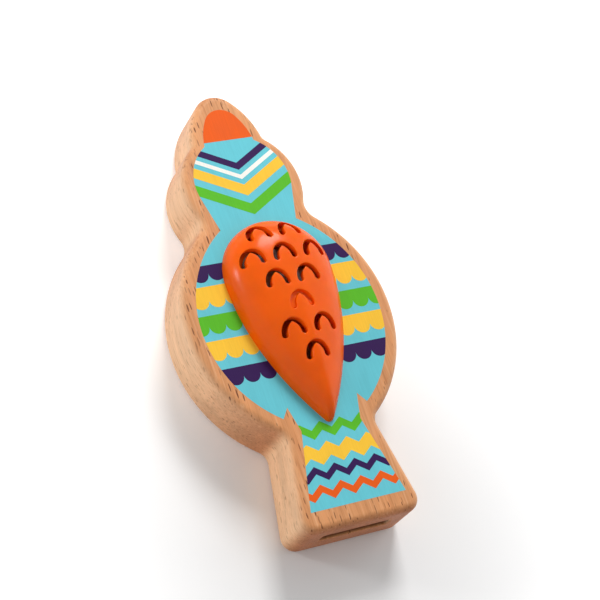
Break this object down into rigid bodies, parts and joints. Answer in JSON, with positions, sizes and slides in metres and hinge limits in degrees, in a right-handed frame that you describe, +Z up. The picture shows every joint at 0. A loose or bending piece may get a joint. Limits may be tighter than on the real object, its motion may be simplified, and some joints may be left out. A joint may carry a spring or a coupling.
{
  "type": "wooden kazoo",
  "caption": "Bird-shaped beech kazoo on its back: breath enters a flat slot in the tail, and a film under a domed plastic grille cap buzzes.",
  "frame": {"origin": "under the middle of the bounding box, on the flat back that the kazoo lies on", "axes": "+Z up out of the printed front, +Y from the tail towards the beak, +X across the wings"},
  "size_m": [0.071, 0.149, 0.0303],
  "materials": {
    "beech": "satin",
    "orange_plastic": "satin",
    "clear_film": "gloss"
  },
  "bodies": {
    "kazoo": {"body_block": "beech", "grille_cap": "orange_plastic", "membrane_plate": "orange_plastic", "membrane_ring": "orange_plastic"},
    "film": {"membrane": "clear_film"}
  },
  "joints": [
    {"name": "membrane_flutter", "type": "slide", "parent": "kazoo", "child": "film", "axis": [0, 0, 1], "range_m": [-0.0002, 0.0002], "stiffness_N_per_m": 20}
  ]
}
